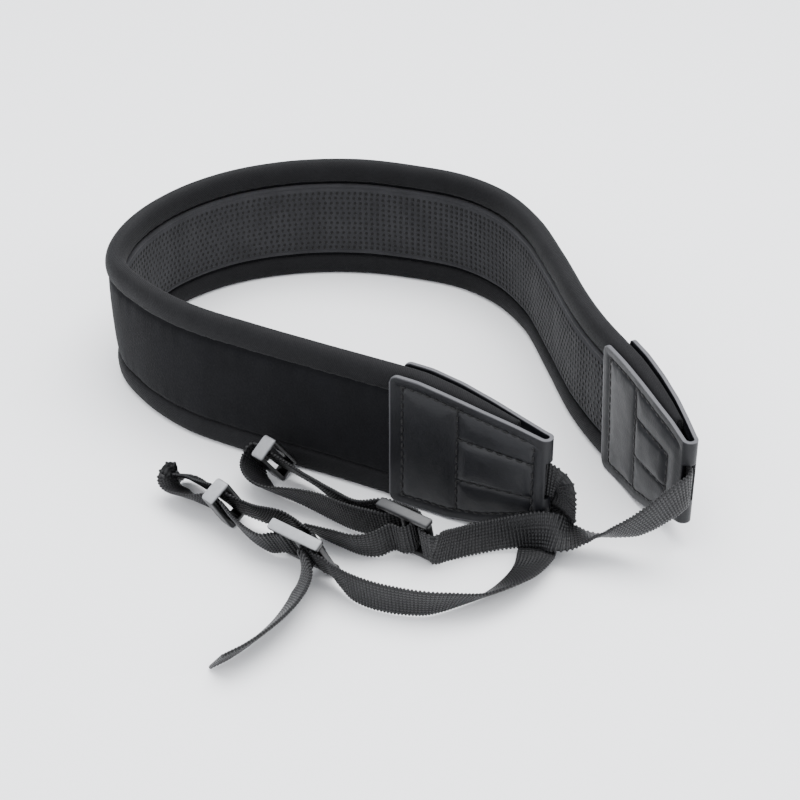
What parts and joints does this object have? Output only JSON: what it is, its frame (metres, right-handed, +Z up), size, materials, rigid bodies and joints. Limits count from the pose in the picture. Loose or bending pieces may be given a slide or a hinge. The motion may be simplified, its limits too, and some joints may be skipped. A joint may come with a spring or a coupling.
{
  "type": "camera neck strap",
  "caption": "Padded neck band in an open curve with bound edges and folded leather ends, each end carrying a webbing strap with a three-bar buckle, keeper and lug loop.",
  "frame": {"origin": "middle of the bounding box, on the floor under the strap", "axes": "+Z up from the floor; +Y from the open end of the curve towards the back of the neck band; +X to the right seen from the open end"},
  "size_m": [0.1958, 0.2552, 0.0485],
  "materials": {
    "neoprene": "matt charcoal neoprene with a fine knit face",
    "grip_lining": "anti-slip knit with rows of small dark dimples",
    "edge_binding": "soft rolled binding, fine twill",
    "leather": "smooth semi-gloss black leather with dark stitching",
    "webbing": "black ribbed nylon webbing",
    "buckle_plastic": "moulded black plastic, semi-gloss"
  },
  "bodies": {
    "root": {"pad_core": "neoprene", "grip_lining": "grip_lining", "binding_top": "edge_binding", "binding_bottom": "edge_binding", "leather_cap_near": "leather", "leather_cap_far": "leather", "webbing_near": "webbing", "webbing_far": "webbing", "slider_near": "buckle_plastic", "slider_far": "buckle_plastic", "keeper_near": "buckle_plastic", "keeper_far": "buckle_plastic"}
  },
  "joints": []
}
